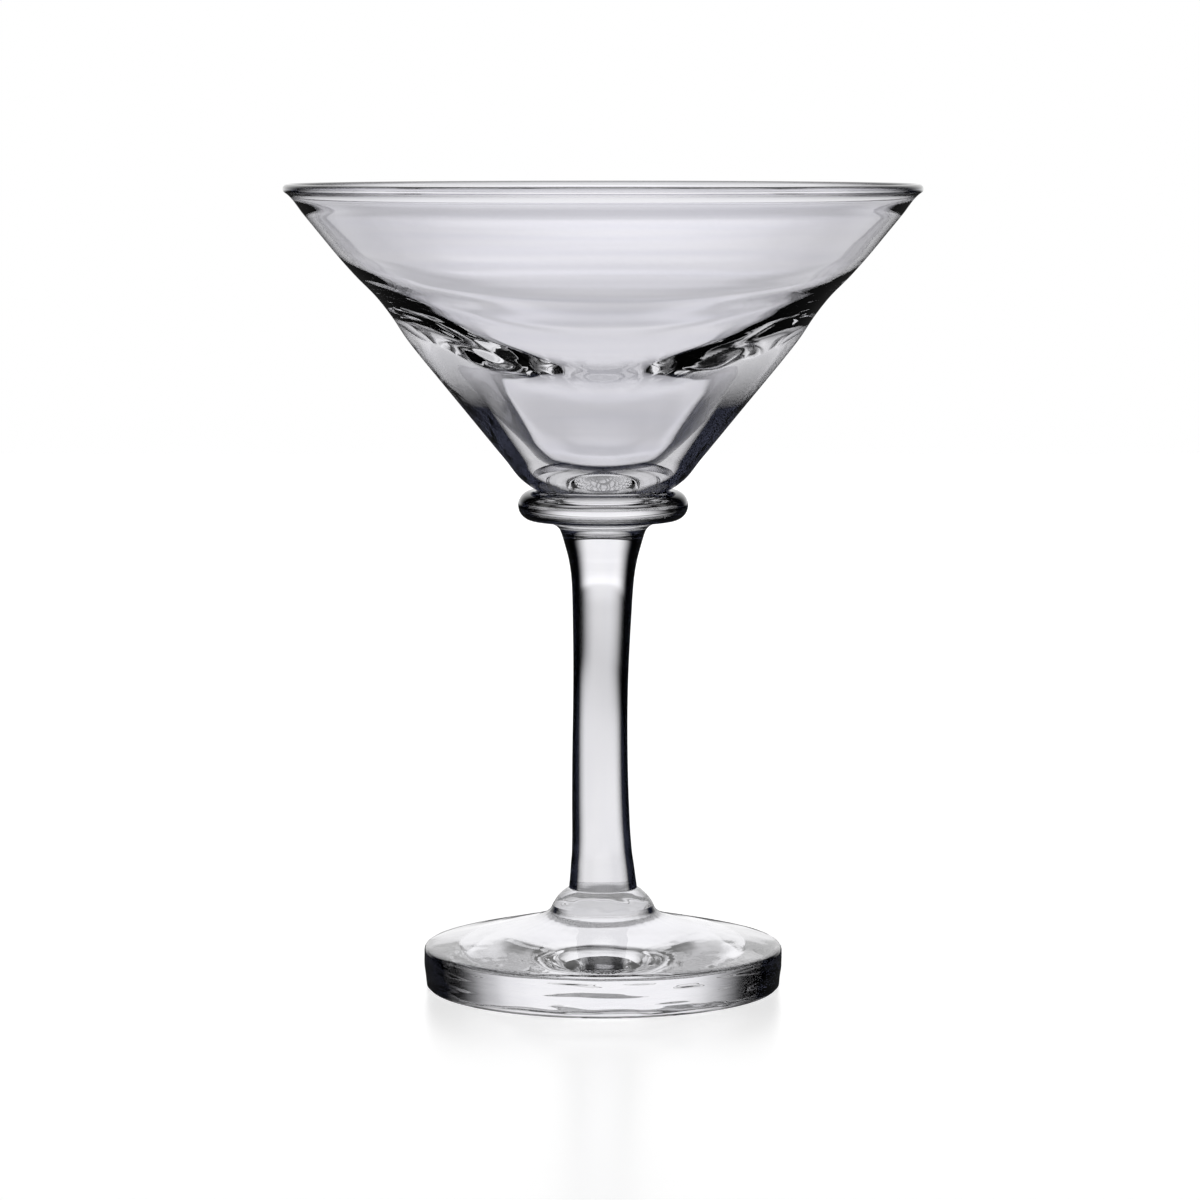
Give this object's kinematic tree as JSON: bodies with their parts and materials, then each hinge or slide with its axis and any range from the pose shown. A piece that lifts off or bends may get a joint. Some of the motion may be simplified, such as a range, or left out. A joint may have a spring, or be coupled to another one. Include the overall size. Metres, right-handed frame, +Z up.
{
  "type": "martini glass",
  "caption": "Clear stemmed cocktail glass: wide cone bowl, round ring under the bowl, solid drawn stem, sloping button and a thick disc foot.",
  "frame": {"origin": "middle of the foot's underside, on the table", "axes": "+Z up along the stem's axis; X and Y are free, because the glass is round"},
  "size_m": [0.127, 0.127, 0.1611],
  "materials": {
    "bowl_glass": "clear blown glass, fire-polished lip, faint draw lines, optic ripples in the thick bottom",
    "merese_glass": "clear hot-wrapped glass ring, glossy, slightly uneven",
    "stem_glass": "clear solid drawn glass, glossy",
    "knop_glass": "clear pressed glass button, glossy, faint tool marks",
    "foot_glass": "thick clear glass disc with a faint cool tint, radial tool ripples on top"
  },
  "bodies": {
    "root": {"bowl": "bowl_glass", "merese": "merese_glass", "stem": "stem_glass", "foot_knop": "knop_glass", "foot": "foot_glass"}
  },
  "joints": []
}
